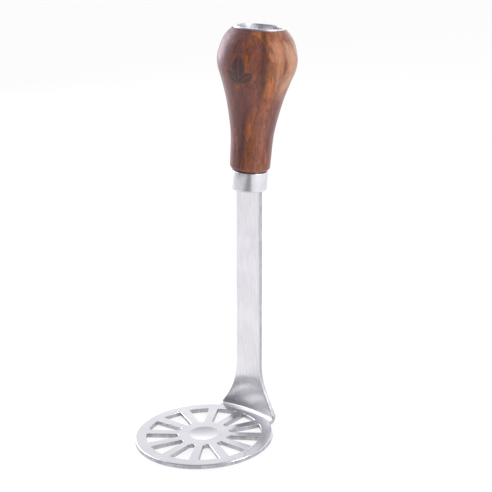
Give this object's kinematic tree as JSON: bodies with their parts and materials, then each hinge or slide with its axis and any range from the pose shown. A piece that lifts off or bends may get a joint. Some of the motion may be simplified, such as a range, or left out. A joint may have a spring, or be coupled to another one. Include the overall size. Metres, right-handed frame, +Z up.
{
  "type": "potato masher",
  "caption": "Hand potato masher: a round slotted steel plate on a flat upright shank, with a pear-shaped turned wooden handle and a steel-lined cup in its top.",
  "frame": {"origin": "centre of the flat underside of the pressing plate", "axes": "+Z up out of the plate; the shank rises at +Y; +X to the right when the shank's inner face is seen from the front"},
  "size_m": [0.09, 0.1301, 0.2624],
  "materials": {
    "plate_steel": "satin stamped stainless steel",
    "ferrule_steel": "polished stainless steel",
    "cup_steel": "bright drawn stainless steel",
    "fastener_steel": "plain zinc-plated steel",
    "wood": "satin-lacquered reddish-brown hardwood"
  },
  "bodies": {
    "root": {"masher_head": "plate_steel", "ferrule": "ferrule_steel", "tang_stud": "fastener_steel", "handle": "wood", "washer": "fastener_steel", "lock_washer": "fastener_steel", "hex_nut": "fastener_steel", "cup_liner": "cup_steel"}
  },
  "joints": []
}
